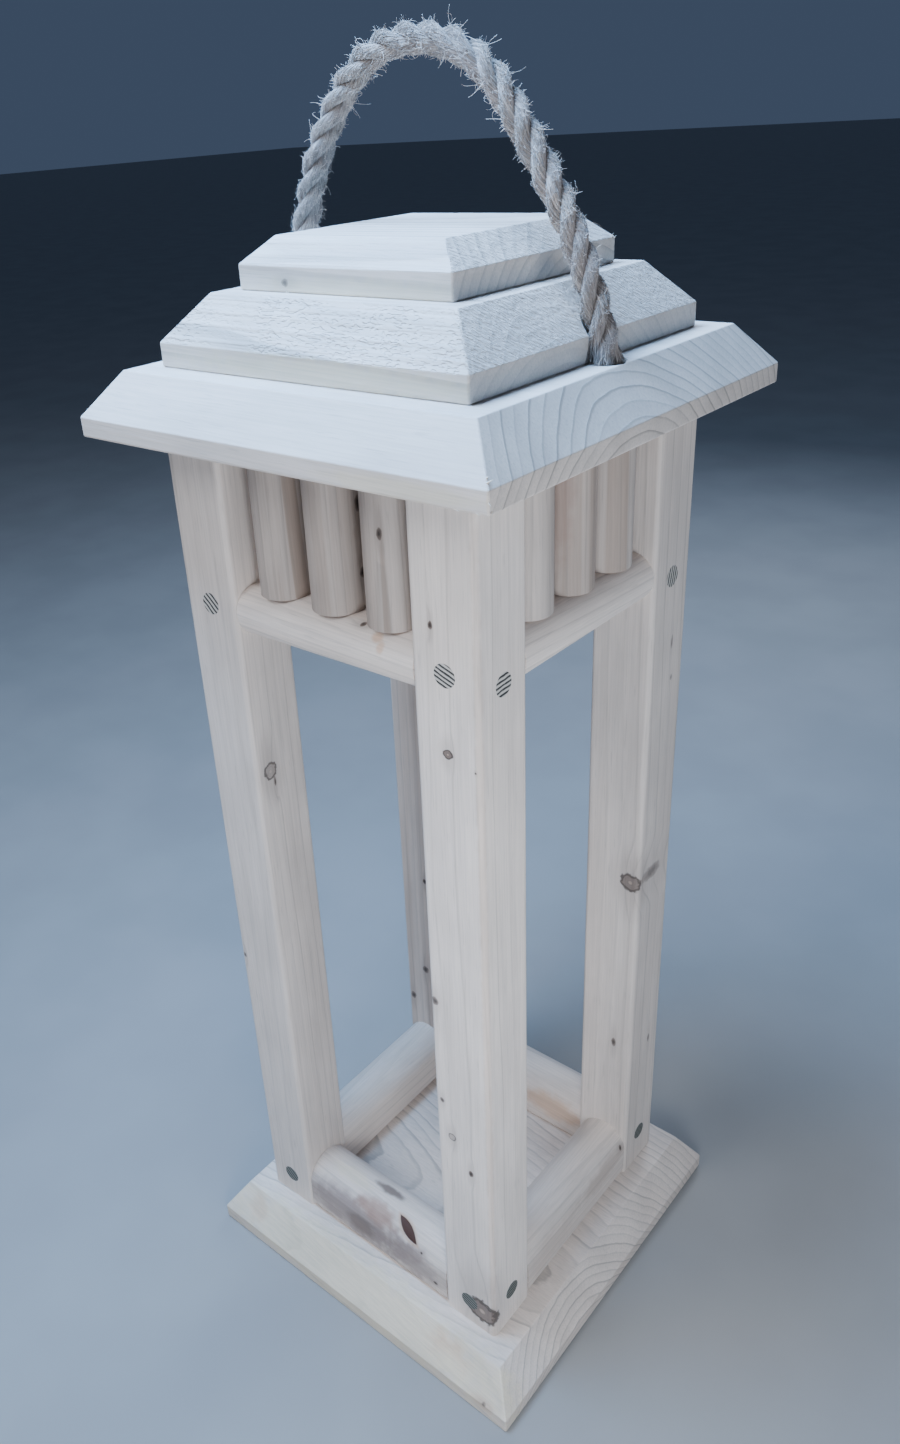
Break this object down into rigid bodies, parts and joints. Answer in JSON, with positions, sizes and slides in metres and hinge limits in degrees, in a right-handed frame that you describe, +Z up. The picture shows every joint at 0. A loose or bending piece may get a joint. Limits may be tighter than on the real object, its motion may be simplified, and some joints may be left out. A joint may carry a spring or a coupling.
{
  "type": "candle lantern",
  "caption": "Open-sided timber candle lantern: bevelled base, corner posts, bull-nosed rails and upright slats under a stacked bevelled roof, with a rope carrying handle.",
  "frame": {"origin": "middle of the base board's underside, where the lantern stands", "axes": "+Z up; -Y is the front; +X right; the rope handle lies in the plane Y = 0 and spans X"},
  "size_m": [0.291, 0.291, 0.867],
  "materials": {
    "pine_base": "planed, unfinished",
    "pine_roof": "planed, unfinished",
    "pine_post": "planed, unfinished",
    "pine_rail": "planed, unfinished",
    "pine_slat": "planed, unfinished",
    "pine_plug": "end grain, sanded flush",
    "rope": "natural fibre, three strands",
    "screw_steel": "zinc plated"
  },
  "bodies": {
    "lantern": {"base_board": "pine_base", "base_screws": "screw_steel", "bottom_rail_back": "pine_rail", "bottom_rail_front": "pine_rail", "bottom_rail_left": "pine_rail", "bottom_rail_right": "pine_rail", "cap_tier_screws": "screw_steel", "eaves_screws": "screw_steel", "middle_tier_screws": "screw_steel", "plugs_back_left": "pine_plug", "plugs_back_right": "pine_plug", "plugs_front_left": "pine_plug", "plugs_front_right": "pine_plug", "post_back_left": "pine_post", "post_back_right": "pine_post", "post_front_left": "pine_post", "post_front_right": "pine_post", "rail_screws": "screw_steel", "roof_cap_tier": "pine_roof", "roof_eaves": "pine_roof", "roof_middle_tier": "pine_roof", "rope_foot_left": "rope", "rope_foot_right": "rope", "rope_screws": "screw_steel", "slat_back_1": "pine_slat", "slat_back_2": "pine_slat", "slat_back_3": "pine_slat", "slat_front_1": "pine_slat", "slat_front_2": "pine_slat", "slat_front_3": "pine_slat", "slat_left_1": "pine_slat", "slat_left_2": "pine_slat", "slat_left_3": "pine_slat", "slat_right_1": "pine_slat", "slat_right_2": "pine_slat", "slat_right_3": "pine_slat", "top_rail_back": "pine_rail", "top_rail_front": "pine_rail", "top_rail_left": "pine_rail", "top_rail_right": "pine_rail"},
    "handle": {"rope_handle": "rope"}
  },
  "joints": [
    {"name": "handle_swing", "type": "hinge", "parent": "lantern", "child": "handle", "pos_m": [0, 0, 0.748], "axis": [1, 0, 0], "range_deg": [-60, 60], "stiffness_Nm_per_rad": 0.4}
  ]
}
